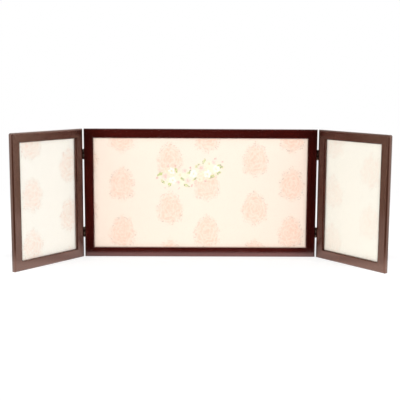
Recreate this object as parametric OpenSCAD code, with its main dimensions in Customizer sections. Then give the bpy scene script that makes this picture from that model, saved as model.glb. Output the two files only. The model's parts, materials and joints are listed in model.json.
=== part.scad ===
// Folding picture screen of three framed panels for a shelf or a table: a wide
// centre panel and two narrow wings, joined by four small butt hinges.
// Frame: X across the centre panel, Y from front to back, Z up. The origin is the
// middle of the face that the centre panel stands on.

/* [Panels] */
// Height of all three panels
panel_h = 255; // [160:1:500]
// Width of the centre panel
centre_w = 459; // [300:1:800]
// Width of each wing
wing_w = 178; // [100:1:350]
// Thickness of the frames from front to back
frame_t = 9; // [8:0.5:16]
// Angle of the left wing: 0 is in line with the centre panel, 180 is closed over it
left_fold_angle = 52.5; // [0:0.5:180]
// Angle of the right wing, counted in the same way
right_fold_angle = 53.5; // [0:0.5:180]

/* [Frame members] */
// Width of a frame member, seen from the front
member_w = 18; // [16:0.5:30]
// Width of the rebate behind the front lip
rebate_w = 5; // [3:0.5:5.5]
// Radius of the front edges
front_edge_r = 1.2; // [0.8:0.1:2]
// Radius of the outer back edges
back_edge_r = 0.6; // [0.2:0.1:1.5]
// Radius of the top corner of a wing on its free side
corner_r = 4; // [2.5:0.5:8]

/* [Sheets] */
// Thickness of the clear acrylic sheet
glazing_t = 1.2; // [1:0.1:2]
// Thickness of the picture card
picture_t = 0.4; // [0.2:0.1:0.6]
// Thickness of the backing board
backing_t = 2.4; // [1.5:0.1:3]
// Play between the edge of a sheet and the wall of the rebate
sheet_play = 0.5; // [0.2:0.1:1]

/* [Hinges] */
// Length of a hinge
hinge_l = 20; // [18:1:40]
// Distance from the top or the bottom of the panel to the middle of a hinge
hinge_inset = 50; // [35:1:70]
// Diameter of the hinge barrel
barrel_d = 2.4; // [2.2:0.1:2.8]
// Diameter of the hinge pin
pin_d = 1.2; // [1:0.1:1.4]
// Height of the pin's axis in front of the front faces
pin_front = 0.7; // [0.7:0.1:1.3]
// Height of the pin's heads above and below the knuckles
pin_head_h = 0.4; // [0.2:0.1:1]
// How far the pin's heads overhang its shank
pin_head_over = 0.35; // [0.2:0.05:0.5]
// Thickness of a leaf
leaf_t = 0.75; // [0.7:0.05:0.9]
// Free space between the two leaves of a hinge when its frames are in line
leaf_gap = 0.2; // [0.1:0.05:0.6]
// Width of a leaf, measured back along the edge of the frame
leaf_w = 6.4; // [5:0.1:6.6]
// Number of knuckles on a hinge
knuckles = 4; // [2:1:6]
// Distance between the two screws of a leaf
leaf_screw_pitch = 12; // [8:1:13]

/* [Screws and corner nails] */
// Shank diameter of a hinge screw
hinge_screw_d = 1.6; // [1.2:0.1:1.8]
// Head diameter of a hinge screw
hinge_head_d = 3; // [2.4:0.1:3.2]
// Length of a hinge screw
hinge_screw_l = 7; // [5:0.5:9]
// Width of the slot in a hinge screw
slot_w = 0.4; // [0.3:0.05:0.6]
// Depth of a screw's slot
slot_depth = 0.35; // [0.2:0.05:0.45]
// Length of a corner nail's leg
nail_leg = 5.5; // [3:0.5:7]
// Thickness of a corner nail
nail_t = 0.5; // [0.3:0.1:0.8]
// Depth that a corner nail is driven to
nail_depth = 6; // [4:0.5:7]
// Distance from the outer edges of the frame to the crease of a corner nail
nail_inset = 4; // [3:0.5:4.5]

/* [Turn buttons] */
// Distance from the pivot to the middle of the nose
button_reach = 8.5; // [8:0.5:14]
// Radius of the button round its pivot
button_r = 4; // [3.5:0.1:4.5]
// Radius of the nose
nose_r = 2.4; // [1.5:0.1:3]
// Thickness of a button
button_t = 1; // [0.8:0.1:2]
// Distance from a corner of the panel to the nearest pivot
button_inset = 80; // [70:1:90]
// Shank diameter of a button's screw
button_screw_d = 2.2; // [1.8:0.1:3]
// Head diameter of a button's screw
button_head_d = 4.8; // [4:0.1:6]
// Height of the screw's domed head
button_head_h = 1.4; // [1:0.1:2]
// Length of the screw below its head
button_screw_l = 7.5; // [6:0.5:8]
// Width of the slot in a button's screw
button_slot_w = 0.8; // [0.5:0.1:1]

/* [Fits] */
// Radial clearance of a pin or a screw in a piece that turns on it
running_fit = 0.05; // [0.02:0.01:0.1]
// Radial clearance of a pin, a screw or a nail in a piece that holds it
seat_fit = 0.02; // [0.01:0.01:0.05]
// Free space between knuckles, and between a knuckle and the other leaf
knuckle_gap = 0.2; // [0.1:0.05:0.3]
// Free space above and below a turn button
button_gap = 0.05; // [0.02:0.01:0.1]

/* [Hidden] */
$fn = 64;

// The three panels, and the two sides and ends that the modules below are given
CENTRE = 0;
LEFT_WING = 1;
RIGHT_WING = 2;
LEFT = -1;
RIGHT = 1;
BOTTOM = -1;
TOP = 1;

LACQUER = "#45150f";
CARD = "#fdf0dd";
BOARD = "#6d5138";
CLEAR = [0.85, 0.93, 0.95, 0.3];
DARK_METAL = "#2a211c";
STEEL = "#9a9a98";

// The front lip takes what the three sheets leave of the frame's thickness
front_face = -frame_t / 2;
back_face = frame_t / 2;
lip_t = frame_t - glazing_t - picture_t - backing_t;
land_w = member_w - rebate_w;

// Two leaves lie side by side in the gap between two panels, with the pin in its middle
panel_gap = 2 * leaf_t + leaf_gap;
barrel_r = barrel_d / 2;
pin_y = front_face - pin_front;
pin_head_r = pin_d / 2 + pin_head_over;
leaf_start = barrel_r + knuckle_gap;
leaf_screw_y = leaf_start + leaf_w / 2;
knuckle_l = hinge_l / knuckles;

// Height of the underside of a turn button's screw head over the back face
button_head_z = button_t + 2 * button_gap;

// How far a cutting shape runs past the face that it cuts
over = 1;

function panel_w(panel) = panel == CENTRE ? centre_w : wing_w;

// Edges of a panel that carry hinges
function hinge_sides(panel) = panel == CENTRE ? [LEFT, RIGHT] : panel == LEFT_WING ? [RIGHT] : [LEFT];

function hinge_z(end) = end == TOP ? panel_h - hinge_inset : hinge_inset;

// The pin's axis beside a panel, in that panel's own place
function pin_x(panel, side) = side * (panel_w(panel) + panel_gap) / 2;

// Moves what is drawn in a panel's own place to where the panel stands
module place(panel) {
    side = panel == LEFT_WING ? LEFT : RIGHT;
    fold_angle = panel == LEFT_WING ? left_fold_angle : right_fold_angle;
    if (panel == CENTRE)
        children();
    else
        translate([pin_x(CENTRE, side), pin_y, 0])
            rotate([0, 0, -side * fold_angle])
                translate([-pin_x(panel, -side), -pin_y, 0])
                    children();
}

// What a rounding of radius r takes off a square corner at the origin
module edge_waste(r) {
    difference() {
        translate([-over, -over])
            square(r + over);
        translate([r, r])
            circle(r);
    }
}

// Section of the moulding: X from front to back, Y from the outer to the inner edge
module member_section() {
    difference() {
        translate([front_face, 0])
            square([frame_t, member_w]);
        translate([front_face + lip_t, land_w])
            square([frame_t, member_w]);
        translate([front_face, 0])
            edge_waste(front_edge_r);
        translate([front_face, member_w])
            mirror([0, 1])
                edge_waste(front_edge_r);
        translate([back_face, 0])
            mirror([1, 0])
                edge_waste(back_edge_r);
    }
}

// A mitred length of moulding, lying along X with its outer edge on Z = 0
module member(length) {
    inner = length - 2 * member_w;
    intersection() {
        rotate([90, 0, 90])
            translate([0, 0, -length / 2])
                linear_extrude(length)
                    member_section();
        rotate([90, 0, 0])
            translate([0, 0, -frame_t / 2 - over])
                linear_extrude(frame_t + 2 * over)
                    polygon([
                        [-length / 2, 0],
                        [length / 2, 0],
                        [inner / 2, member_w],
                        [-inner / 2, member_w]
                    ]);
    }
}

// What a rounded corner with its centre at the origin takes off between X and Z: a block
// less a turned disc that has the edge radii of the moulding
module corner_waste() {
    difference() {
        translate([0, front_face - over, 0])
            cube([corner_r + over, frame_t + 2 * over, corner_r + over]);
        rotate([-90, 0, 0])
            rotate_extrude()
                difference() {
                    translate([0, front_face])
                        square([corner_r, frame_t]);
                    translate([corner_r, front_face])
                        mirror([1, 0])
                            edge_waste(front_edge_r);
                    translate([corner_r, back_face])
                        rotate(180)
                            edge_waste(back_edge_r);
                }
    }
}

// The rounded top corner of a wing, on the side that has no hinges
module free_corner(panel) {
    side = panel == LEFT_WING ? LEFT : RIGHT;
    if (panel != CENTRE)
        translate([side * (wing_w / 2 - corner_r), 0, panel_h - corner_r])
            mirror([side == LEFT ? 1 : 0, 0, 0])
                corner_waste();
}

// A member of a panel, less a wing's rounded corner and the room for the fasteners
module fastened(panel) {
    color(LACQUER)
        place(panel)
            difference() {
                children();
                free_corner(panel);
                nails(panel, seat_fit);
                hinge_shanks(panel, seat_fit);
                button_shanks(panel, seat_fit);
            }
}

module rail(panel, end) {
    fastened(panel)
        translate([0, 0, end == TOP ? panel_h : 0])
            mirror([0, 0, end == TOP ? 1 : 0])
                member(panel_w(panel));
}

module stile(panel, side) {
    fastened(panel)
        translate([side * panel_w(panel) / 2, 0, panel_h / 2])
            rotate([0, -side * 90, 0])
                member(panel_h);
}

// A sheet in the rebate, from the given depth behind the front face
module sheet(panel, depth, thickness) {
    w = panel_w(panel) - 2 * (land_w + sheet_play);
    h = panel_h - 2 * (land_w + sheet_play);
    place(panel)
        translate([-w / 2, front_face + depth, land_w + sheet_play])
            cube([w, thickness, h]);
}

module glazing(panel) {
    color(CLEAR)
        sheet(panel, lip_t, glazing_t);
}

module picture(panel) {
    color(CARD)
        sheet(panel, lip_t + glazing_t, picture_t);
}

module backing_board(panel) {
    color(BOARD)
        sheet(panel, lip_t + glazing_t + picture_t, backing_t);
}

// Bent strips that draw the four mitres together, driven in from the back
module nails(panel, fit) {
    for (side = [LEFT, RIGHT], end = [BOTTOM, TOP])
        translate([side * panel_w(panel) / 2, back_face, end == TOP ? panel_h : 0])
            mirror([side == RIGHT ? 1 : 0, 0, 0])
                mirror([0, 0, end == TOP ? 1 : 0])
                    translate([nail_inset - fit, -nail_depth - fit, nail_inset - fit]) {
                        cube([nail_leg + 2 * fit, nail_depth + fit, nail_t + 2 * fit]);
                        cube([nail_t + 2 * fit, nail_depth + fit, nail_leg + 2 * fit]);
                    }
}

module corner_nails(panel) {
    color(STEEL)
        place(panel)
            nails(panel, 0);
}

// Puts children at each hinge screw of a panel, with Z from the head to the point
module at_hinge_screws(panel) {
    for (side = hinge_sides(panel), end = [BOTTOM, TOP], step = [-1, 1])
        translate([
            side * (panel_w(panel) / 2 + leaf_t),
            pin_y + leaf_screw_y,
            hinge_z(end) + step * leaf_screw_pitch / 2
        ])
            rotate([0, -side * 90, 0])
                children();
}

// A countersunk head's cone with its wide end on Z = 0
module countersink(fit) {
    cone_h = (hinge_head_d - hinge_screw_d) / 2;
    cylinder(h = cone_h, r1 = hinge_head_d / 2 + fit, r2 = hinge_screw_d / 2 + fit);
}

module hinge_shanks(panel, fit) {
    at_hinge_screws(panel)
        cylinder(h = hinge_screw_l + fit, d = hinge_screw_d + 2 * fit);
}

module hinge_screws(panel) {
    color(DARK_METAL)
        place(panel)
            difference() {
                union() {
                    hinge_shanks(panel, 0);
                    at_hinge_screws(panel)
                        countersink(0);
                }
                at_hinge_screws(panel)
                    translate([-hinge_head_d, -slot_w / 2, -over])
                        cube([2 * hinge_head_d, slot_w, over + slot_depth]);
            }
}

// Section of a knuckle: the barrel and the strap that joins it to its own leaf
module knuckle_section() {
    circle(barrel_r);
    translate([leaf_gap / 2, 0])
        square([leaf_t, leaf_start]);
}

// One leaf round the pin's axis. A leaf that points RIGHT has the first knuckle from
// the top and every second one below it, and a leaf that points LEFT has the others.
module leaf(points, bore_fit) {
    first = points == RIGHT ? 0 : 1;
    difference() {
        mirror([points == LEFT ? 1 : 0, 0, 0]) {
            for (i = [first:2:knuckles - 1])
                translate([0, 0, hinge_l / 2 - (i + 1) * knuckle_l + knuckle_gap / 2])
                    linear_extrude(knuckle_l - knuckle_gap)
                        knuckle_section();
            translate([leaf_gap / 2, leaf_start, -hinge_l / 2])
                cube([leaf_t, leaf_w, hinge_l]);
        }
        cylinder(h = hinge_l + 2 * over, d = pin_d + 2 * bore_fit, center = true);
    }
}

// The leaf on one side of a panel, with its countersunk screw holes
module panel_leaf(panel, side, end, bore_fit) {
    color(DARK_METAL)
        place(panel)
            difference() {
                translate([pin_x(panel, side), pin_y, hinge_z(end)])
                    leaf(-side, bore_fit);
                hinge_shanks(panel, seat_fit);
                at_hinge_screws(panel)
                    countersink(seat_fit);
            }
}

module centre_leaf(side, end) {
    panel_leaf(CENTRE, side, end, seat_fit);
}

module wing_leaf(side, end) {
    panel_leaf(side == LEFT ? LEFT_WING : RIGHT_WING, -side, end, running_fit);
}

module pin_head() {
    translate([0, 0, hinge_l / 2])
        cylinder(h = pin_head_h, r1 = pin_head_r, r2 = pin_d / 2);
}

module hinge_pin(side, end) {
    color(DARK_METAL)
        translate([pin_x(CENTRE, side), pin_y, hinge_z(end)]) {
            cylinder(h = hinge_l, d = pin_d, center = true);
            pin_head();
            mirror([0, 0, 1])
                pin_head();
        }
}

// Pivots of a panel's four turn buttons, two on each of its long members. Children
// lie on the back face with X towards the middle of the panel and Z out of the back.
module at_button(panel, number) {
    along = number % 2 == 1 ? -1 : 1;
    across = number <= 2 ? -1 : 1;
    if (panel == CENTRE)
        translate([
            along * (centre_w / 2 - button_inset),
            back_face,
            across == 1 ? panel_h - land_w / 2 : land_w / 2
        ])
            rotate([-90, across * 90, 0])
                children();
    else
        translate([
            across * (wing_w / 2 - land_w / 2),
            back_face,
            along == 1 ? panel_h - button_inset : button_inset
        ])
            rotate([-90, across == 1 ? 180 : 0, 0])
                children();
}

module button_shanks(panel, fit) {
    for (number = [1:4])
        at_button(panel, number)
            translate([0, 0, -button_screw_l - fit])
                cylinder(h = button_screw_l + fit + button_head_z, d = button_screw_d + 2 * fit);
}

// Domed head of a turn button's screw: a slice of a ball
module dome(radius, height) {
    ball_r = (radius * radius + height * height) / (2 * height);
    rotate_extrude()
        intersection() {
            square([radius, height]);
            translate([0, height - ball_r])
                circle(ball_r);
        }
}

module button_screws(panel) {
    color(DARK_METAL)
        place(panel) {
            button_shanks(panel, 0);
            for (number = [1:4])
                at_button(panel, number)
                    translate([0, 0, button_head_z])
                        difference() {
                            dome(button_head_d / 2, button_head_h);
                            translate([-button_head_d, -button_slot_w / 2, button_head_h - slot_depth])
                                cube([2 * button_head_d, button_slot_w, over]);
                        }
        }
}

// Outline of a turn button: two circles joined by their outer tangents
module button_outline() {
    lean = acos((button_r - nose_r) / button_reach);
    up = [cos(lean), sin(lean)];
    down = [cos(lean), -sin(lean)];
    nose = [button_reach, 0];
    circle(button_r);
    translate(nose)
        circle(nose_r);
    polygon([button_r * down, nose + nose_r * down, nose + nose_r * up, button_r * up]);
}

module turn_button(panel, number) {
    color(DARK_METAL)
        place(panel)
            at_button(panel, number)
                translate([0, 0, button_gap])
                    linear_extrude(button_t)
                        difference() {
                            button_outline();
                            circle(d = button_screw_d + 2 * running_fit);
                        }
}

rail(CENTRE, TOP);  // centre_top_rail
rail(CENTRE, BOTTOM);  // centre_bottom_rail
stile(CENTRE, LEFT);  // centre_left_stile
stile(CENTRE, RIGHT);  // centre_right_stile
glazing(CENTRE);  // centre_glazing
picture(CENTRE);  // centre_picture
backing_board(CENTRE);  // centre_backing_board
corner_nails(CENTRE);  // centre_corner_nails
hinge_screws(CENTRE);  // centre_hinge_screws
button_screws(CENTRE);  // centre_button_screws
turn_button(CENTRE, 1);  // centre_turn_button_1
turn_button(CENTRE, 2);  // centre_turn_button_2
turn_button(CENTRE, 3);  // centre_turn_button_3
turn_button(CENTRE, 4);  // centre_turn_button_4

rail(LEFT_WING, TOP);  // left_wing_top_rail
rail(LEFT_WING, BOTTOM);  // left_wing_bottom_rail
stile(LEFT_WING, LEFT);  // left_wing_left_stile
stile(LEFT_WING, RIGHT);  // left_wing_right_stile
glazing(LEFT_WING);  // left_wing_glazing
picture(LEFT_WING);  // left_wing_picture
backing_board(LEFT_WING);  // left_wing_backing_board
corner_nails(LEFT_WING);  // left_wing_corner_nails
hinge_screws(LEFT_WING);  // left_wing_hinge_screws
button_screws(LEFT_WING);  // left_wing_button_screws
turn_button(LEFT_WING, 1);  // left_wing_turn_button_1
turn_button(LEFT_WING, 2);  // left_wing_turn_button_2
turn_button(LEFT_WING, 3);  // left_wing_turn_button_3
turn_button(LEFT_WING, 4);  // left_wing_turn_button_4

rail(RIGHT_WING, TOP);  // right_wing_top_rail
rail(RIGHT_WING, BOTTOM);  // right_wing_bottom_rail
stile(RIGHT_WING, LEFT);  // right_wing_left_stile
stile(RIGHT_WING, RIGHT);  // right_wing_right_stile
glazing(RIGHT_WING);  // right_wing_glazing
picture(RIGHT_WING);  // right_wing_picture
backing_board(RIGHT_WING);  // right_wing_backing_board
corner_nails(RIGHT_WING);  // right_wing_corner_nails
hinge_screws(RIGHT_WING);  // right_wing_hinge_screws
button_screws(RIGHT_WING);  // right_wing_button_screws
turn_button(RIGHT_WING, 1);  // right_wing_turn_button_1
turn_button(RIGHT_WING, 2);  // right_wing_turn_button_2
turn_button(RIGHT_WING, 3);  // right_wing_turn_button_3
turn_button(RIGHT_WING, 4);  // right_wing_turn_button_4

centre_leaf(LEFT, TOP);  // left_upper_hinge_centre_leaf
wing_leaf(LEFT, TOP);  // left_upper_hinge_wing_leaf
hinge_pin(LEFT, TOP);  // left_upper_hinge_pin
centre_leaf(LEFT, BOTTOM);  // left_lower_hinge_centre_leaf
wing_leaf(LEFT, BOTTOM);  // left_lower_hinge_wing_leaf
hinge_pin(LEFT, BOTTOM);  // left_lower_hinge_pin
centre_leaf(RIGHT, TOP);  // right_upper_hinge_centre_leaf
wing_leaf(RIGHT, TOP);  // right_upper_hinge_wing_leaf
hinge_pin(RIGHT, TOP);  // right_upper_hinge_pin
centre_leaf(RIGHT, BOTTOM);  // right_lower_hinge_centre_leaf
wing_leaf(RIGHT, BOTTOM);  // right_lower_hinge_wing_leaf
hinge_pin(RIGHT, BOTTOM);  // right_lower_hinge_pin
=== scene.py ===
# %% [markdown]
# # A folding picture screen of three framed panels
# The real object is a small triptych: three frames of dark lacquered moulding, joined by
# small butt hinges, each with a clear sheet, a printed card and a backing board in its
# rebate. The solids come from a CAD model and already have their exact size and place.
# This lesson gives them their finish: lacquer, print, acrylic, board and old metal.
# Everything is in metres, X across the centre panel, Y from front to back, Z up.

# %% Load the frame
import json
import math

import bpy
import numpy as np
from mathutils import Matrix, Vector


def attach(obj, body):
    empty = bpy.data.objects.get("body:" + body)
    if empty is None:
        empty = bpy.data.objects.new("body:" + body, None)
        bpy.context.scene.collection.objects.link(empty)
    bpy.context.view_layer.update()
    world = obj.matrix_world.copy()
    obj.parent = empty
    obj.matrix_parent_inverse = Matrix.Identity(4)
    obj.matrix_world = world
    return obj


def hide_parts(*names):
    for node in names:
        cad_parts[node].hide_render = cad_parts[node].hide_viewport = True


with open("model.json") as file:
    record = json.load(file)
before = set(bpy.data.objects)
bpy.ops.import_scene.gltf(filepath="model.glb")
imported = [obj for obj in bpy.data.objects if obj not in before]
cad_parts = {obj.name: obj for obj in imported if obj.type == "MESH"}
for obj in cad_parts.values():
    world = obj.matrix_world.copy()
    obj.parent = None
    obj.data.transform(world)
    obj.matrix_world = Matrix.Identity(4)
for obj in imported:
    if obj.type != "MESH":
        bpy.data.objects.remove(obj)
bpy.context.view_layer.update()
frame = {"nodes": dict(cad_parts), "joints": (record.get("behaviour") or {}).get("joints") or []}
NODES = frame["nodes"]

# %% [markdown]
# ## Where each panel stands
# The wings stand at an angle, but a print or a worn edge is easiest to lay out on a panel
# that faces us squarely. So each panel gets a place of its own: a zero point at the middle
# of its foot and a turn about Z. Both could be typed in, but then they could drift from the
# CAD model, so they are worked out from the fold joints and the frame members instead.

# %% Panel places
PANELS = ("centre", "left_wing", "right_wing")
MEMBERS = ("top_rail", "bottom_rail", "left_stile", "right_stile")


def points(node):
    """All the corner points of a CAD node, as an array of rows x, y, z."""
    mesh = NODES[node].data
    co = np.empty(len(mesh.vertices) * 3, np.float32)
    mesh.vertices.foreach_get("co", co)
    return co.reshape(-1, 3).astype(float)


def turn_about_z(turn):
    """The matrix with the cosine and sine of a turn about Z. Rows of points times this
    matrix are turned back, and times its transpose they are turned forward."""
    c, s = math.cos(turn), math.sin(turn)
    return np.array([[c, -s, 0], [s, c, 0], [0, 0, 1]])


def panel_turn(panel):
    """How far a panel is turned about Z. A wing's joint counts from the pose that we see,
    and its lower limit brings the wing in line with the centre panel, so the turn is that
    limit with its sign changed, taken about the joint's own axis."""
    for joint in frame["joints"]:
        if joint["name"] == panel + "_fold":
            return -math.radians(joint["range_deg"][0]) * joint["axis"][2]
    return 0.0


def panel_place(panel):
    """Zero point, turn and size of a panel. The members' points are turned back by the
    panel's turn, so that their lowest and highest values give its real width, thickness
    and height; the zero point is the middle of its foot, turned forward again."""
    turn = panel_turn(panel)
    turned = turn_about_z(turn)
    square_on = np.vstack([points(f"{panel}_{member}") for member in MEMBERS]) @ turned
    low, high = square_on.min(0), square_on.max(0)
    foot = np.array([*(low + high)[:2] / 2, low[2]])
    return turned @ foot, turn, high - low


PLACE = {panel: panel_place(panel) for panel in PANELS}
MEMBER_W = float(np.ptp(points("centre_top_rail")[:, 2]))
for panel, (zero, turn, size) in PLACE.items():
    print(panel, "zero", zero.round(4), "turn", round(math.degrees(turn), 2), "size", size.round(4))
print("width of a member", round(MEMBER_W, 4))

# %% [markdown]
# ## Camera
# The photograph is taken from a little above the top edge, about 1.7 m in front. The eye
# point and the three angles were solved from the corners of the panels, whose real places
# are known, so the camera needs no fitting by hand. Yaw turns it about Z, pitch tips it
# down, and roll turns the picture about the line of sight.

# %% Set up the camera
EYE = Vector((-0.0170, -1.6775, 0.3621))
PITCH, YAW, ROLL = (math.radians(a) for a in (8.413, 0.555, 0.287))
SENSOR_MM = 36.0
LENS_MM = 76.77

flat = math.cos(PITCH)
sight = Vector((math.sin(YAW) * flat, math.cos(YAW) * flat, -math.sin(PITCH)))
level = sight.cross(Vector((0, 0, 1))).normalized()
upright = level.cross(sight)
right = math.cos(ROLL) * level + math.sin(ROLL) * upright
up = math.cos(ROLL) * upright - math.sin(ROLL) * level

camera_data = bpy.data.cameras.new("camera")
camera_data.sensor_width = SENSOR_MM
camera_data.lens = LENS_MM
camera = bpy.data.objects.new("camera", camera_data)
camera.matrix_world = Matrix.Translation(EYE) @ Matrix((right, up, -sight)).transposed().to_4x4()
scene = bpy.context.scene
scene.collection.objects.link(camera)
scene.camera = camera
scene.view_settings.view_transform = "Standard"
print("camera at", tuple(EYE), "looking along", tuple(round(v, 4) for v in sight))

# %% [markdown]
# ## Arithmetic on a surface
# A material is a tree of nodes, and a pattern in it is arithmetic: a distance, a wave, a
# limit. Each step is a Math node, and wiring hundreds of them by hand hides the formula. So
# whatever a node puts out is wrapped in a small class of our own, a field. Adding two
# fields adds the Math node that does it, and the code reads as the formula does on paper.

# %% Fields
class Field:
    """A number, a colour or a place that changes over the surface."""

    def __init__(self, socket):
        self.socket = socket
        self.tree = socket.id_data

    def __add__(self, other):
        return calc("ADD", self, other)

    def __sub__(self, other):
        return calc("SUBTRACT", self, other)

    def __rsub__(self, other):
        return calc("SUBTRACT", other, self)

    def __mul__(self, other):
        return calc("MULTIPLY", self, other)

    def __truediv__(self, other):
        return calc("DIVIDE", self, other)

    def __abs__(self):
        return calc("ABSOLUTE", self)


def fill(socket, value):
    """Links a field to a socket, or sets the socket to a plain number, place or colour."""
    if isinstance(value, Field):
        value.tree.links.new(value.socket, socket)
    elif socket.type == "RGBA" and len(value) == 3:
        socket.default_value = (*value, 1.0)
    else:
        socket.default_value = value


def results(node):
    """All that a node puts out, as fields that are found by number or by name."""
    found = {socket.name: Field(socket) for socket in node.outputs}
    found.update((number, Field(socket)) for number, socket in enumerate(node.outputs))
    return found


def put(tree, kind, sockets=(), **settings):
    """Adds one shader node, with its settings and with its sockets by name or number."""
    node = tree.nodes.new("ShaderNode" + kind)
    for name, value in settings.items():
        setattr(node, name, value)
    for name, value in dict(sockets).items():
        fill(node.inputs[name], value)
    return results(node)


def tree_of(values):
    """The node tree of the fields among some values."""
    return next(value.tree for value in values if isinstance(value, Field))


def calc(operation, *values, clamp=False):
    """One Math node. At least one of the values is a field; the rest may be numbers."""
    tree = tree_of(values)
    return put(tree, "Math", enumerate(values), operation=operation, use_clamp=clamp)[0]


def larger(a, b):
    return calc("MAXIMUM", a, b)


def smaller(a, b):
    return calc("MINIMUM", a, b)


def root(value):
    return calc("SQRT", value)


def cosine(angle):
    return calc("COSINE", angle)


def after_point(value):
    """What stands after the decimal point: it runs from 0 to 1 again and again."""
    return calc("FRACT", value)


print("fields ready")

# %% [markdown]
# ## Blends and patterns
# Four things make nearly every finish here: a soft step from one value to another, a blend
# of two colours, clouds of noise, and noise drawn out into streaks. Each is one or two
# nodes, so each gets a helper.

# %% Blend and pattern helpers
def smooth(value, low, high, to_low=0.0, to_high=1.0):
    """Runs from to_low to to_high, easing in and out, as value goes from low to high."""
    sockets = enumerate((value, low, high, to_low, to_high))
    return put(value.tree, "MapRange", sockets, interpolation_type="SMOOTHSTEP")[0]


def mix(share, a, b, blend="MIX"):
    """Blends colour b over colour a by a share from 0 to 1."""
    tree = tree_of((share, a, b))
    return put(tree, "Mix", {0: share, 6: a, 7: b}, data_type="RGBA", blend_type=blend)[2]


def between(share, a, b):
    """The number a where share is 0 and b where it is 1."""
    return put(share.tree, "Mix", {0: share, 2: a, 3: b})[0]


def noise(place, scale, detail=2.0, roughness=0.5):
    """Soft cloudy values from 0 to 1, with scale cells to the metre."""
    sockets = {"Vector": place, "Scale": scale, "Detail": detail, "Roughness": roughness}
    return put(place.tree, "TexNoise", sockets)[0]


def streaks(place, cells, detail=1.0, roughness=0.5):
    """Noise drawn out: cells holds its cells to the metre along X, Y and Z."""
    drawn = put(place.tree, "Mapping", {"Vector": place, "Scale": cells})[0]
    return noise(drawn, 1.0, detail, roughness)


def split(place):
    """The X, Y and Z of a place, one by one."""
    parts = put(place.tree, "SeparateXYZ", {0: place})
    return parts[0], parts[1], parts[2]


def join(x, y, z):
    """A place made from its three numbers."""
    return put(tree_of((x, y, z)), "CombineXYZ", {0: x, 1: y, 2: z})[0]


def row_place(tree):
    """Each point's place in the row frame."""
    return put(tree, "TexCoord")["Object"]


def on_panel(tree, panel):
    """Each point's place on a panel that faces us squarely: X across from its middle, Y
    from front to back, Z up from its foot."""
    zero, turn, _ = PLACE[panel]
    sockets = {"Vector": row_place(tree), "Location": tuple(zero), "Rotation": (0, 0, turn)}
    return put(tree, "Mapping", sockets, vector_type="TEXTURE")[0]


print("blends and patterns ready")

# %% [markdown]
# ## Node groups and materials
# An effect that several finishes share is a node group: it is built once, and each material
# gives it values of its own. The shader isn't part of a group. It stays in the
# material, where the export can find and bake it.

# %% Group and material helpers
ORIGIN = (0.0, 0.0, 0.0)


def spaced(named):
    """The same values, with a space for each underscore in their names."""
    return {name.replace("_", " "): value for name, value in named.items()}


def new_group(name, **inputs):
    """A new node group and its inputs as fields. An input is told what it usually holds:
    a number, or a place of three numbers."""
    tree = bpy.data.node_groups.new(name, "ShaderNodeTree")
    for label, value in spaced(inputs).items():
        kind = "NodeSocketVector" if isinstance(value, tuple) else "NodeSocketFloat"
        made = tree.interface.new_socket(label, in_out="INPUT", socket_type=kind)
        made.default_value = value
    return tree, results(tree.nodes.new("NodeGroupInput"))


def finish_group(tree, **outputs):
    """Gives a group its outputs, which are all numbers, and prints what it made."""
    outputs = spaced(outputs)
    for label in outputs:
        tree.interface.new_socket(label, in_out="OUTPUT", socket_type="NodeSocketFloat")
    end = tree.nodes.new("NodeGroupOutput")
    for label, value in outputs.items():
        fill(end.inputs[label], value)
    print("group", tree.name, "gives", ", ".join(outputs))
    return tree


def use(group, **sockets):
    """Places a node group in the tree of the fields that go into it."""
    node = tree_of(sockets.values()).nodes.new("ShaderNodeGroup")
    node.node_tree = group
    for label, value in spaced(sockets).items():
        fill(node.inputs[label], value)
    return results(node)


def new_material(name):
    """A new material and its tree, still empty."""
    made = bpy.data.materials.new(name)
    made.use_nodes = True
    made.node_tree.nodes.clear()
    return made, made.node_tree


def principled(tree, **sockets):
    """The material's Principled shader, with its sockets filled and its output wired."""
    shader = put(tree, "BsdfPrincipled", spaced(sockets))[0]
    put(tree, "OutputMaterial", {0: shader})


def bumped(height, metres=1.0):
    """The normal of a surface that stands up by its height times so many metres."""
    return put(height.tree, "Bump", {"Height": height, "Distance": metres, "Strength": 1.0})[0]


def shader_mix(share, a, b):
    """Shader a where share is 0 and shader b where it is 1."""
    return put(share.tree, "MixShader", {0: share, 1: a, 2: b})[0]


print("groups and materials ready")

# %% [markdown]
# ## Wood grain under the lacquer
# The moulding is stained and lacquered so dark that the grain only shows as slow bands and
# fine short pores. A picture of wood would do, but it has a fixed size and repeats. Noise
# that is drawn out along the member gives streaks at any distance. The group takes a place
# whose X runs along the grain.

# %% Wood grain group
# Cells to the metre along the grain and twice across it
STREAK_CELLS = (14, 420, 420)
PORE_CELLS = (90, 2600, 2600)
FIGURE_CELLS = (5, 60, 60)


def make_wood_grain():
    """Streaks and figure are drawn out noise, one fine and one slow; pores are the peaks,
    above 0.60, of a much finer one."""
    tree, given = new_group("wood_grain", Vector=ORIGIN)
    place = given["Vector"]
    return finish_group(
        tree,
        Streaks=streaks(place, STREAK_CELLS, 3, 0.6),
        Pores=smooth(streaks(place, PORE_CELLS, 2, 0.55), 0.60, 0.72),
        Figure=streaks(place, FIGURE_CELLS, 2),
    )


WOOD_GRAIN = make_wood_grain()

# %% [markdown]
# ## The skin of the lacquer
# Sprayed lacquer is never quite flat: it has a slow ripple a few millimetres long, and
# handling leaves a haze where it is touched. Both are too small for geometry, so they go
# into the bump and the roughness.

# %% Lacquer skin group
# Cells to the metre: waves of about 5 mm, waves of 1.5 mm, and patches of 26 mm
SLOW_RIPPLE, QUICK_RIPPLE, HAZE = 190, 650, 38
QUICK_SHARE = 0.25


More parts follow.
